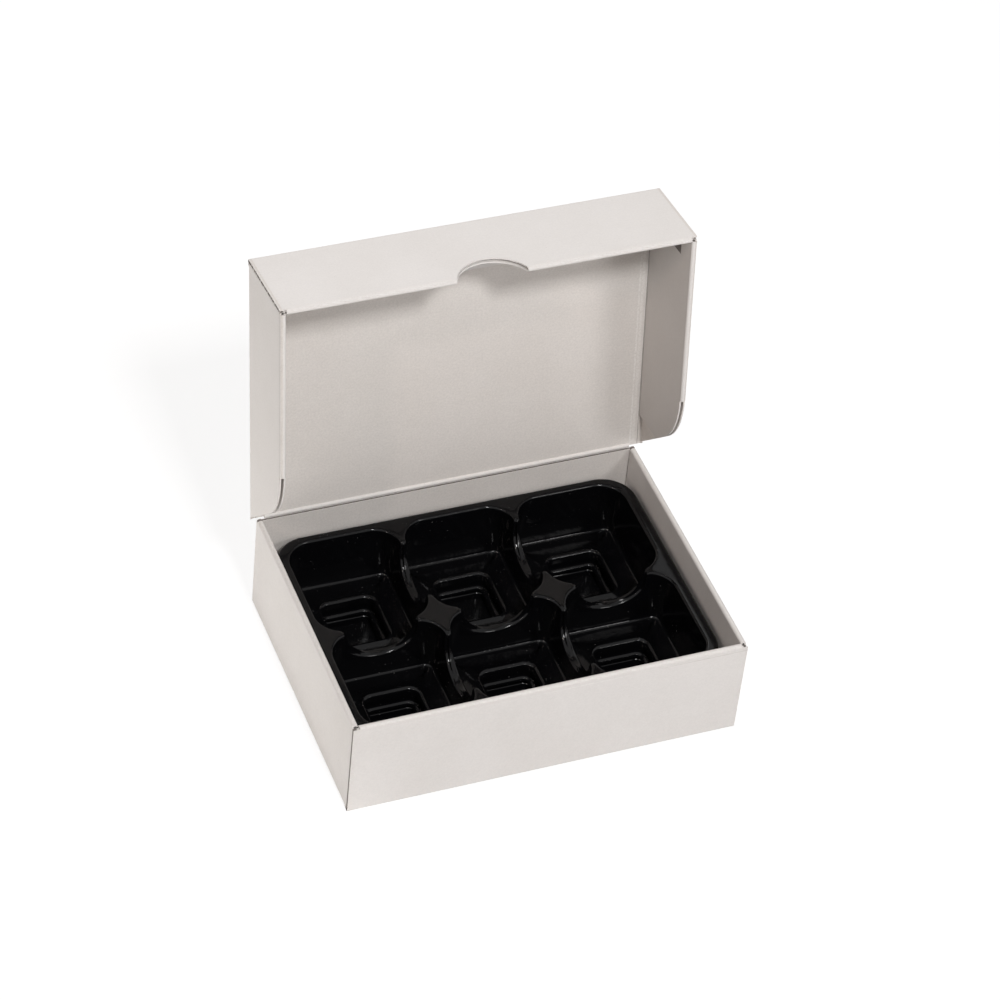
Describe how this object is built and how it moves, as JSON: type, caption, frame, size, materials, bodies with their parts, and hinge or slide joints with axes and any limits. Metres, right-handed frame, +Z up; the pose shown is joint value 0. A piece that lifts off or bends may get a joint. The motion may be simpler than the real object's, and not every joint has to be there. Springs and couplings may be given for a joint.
{
  "type": "chocolate box",
  "caption": "Small folded white paperboard box with a hinged, thumb-notched lid standing open, and a glossy black moulded tray of square chocolate cavities resting inside it.",
  "frame": {"origin": "middle of the carton base's underside", "axes": "+Z up, the front wall towards -Y, the hinge along the back edge at +Y, +X to the right as seen from the front"},
  "size_m": [0.1162, 0.0936, 0.1196],
  "materials": {
    "paperboard": "white, clay-coated outside, uncoated inside, satin",
    "tray_plastic": "black, glossy, thermoformed"
  },
  "bodies": {
    "base": {"carton_base": "paperboard", "insert_tray": "tray_plastic"},
    "lid": {"carton_lid": "paperboard"}
  },
  "joints": [
    {"name": "lid_hinge", "type": "hinge", "parent": "base", "child": "lid", "pos_m": [0, 0.04079, 0.03293], "axis": [-1, 0, 0], "range_deg": [-98, 82]}
  ]
}
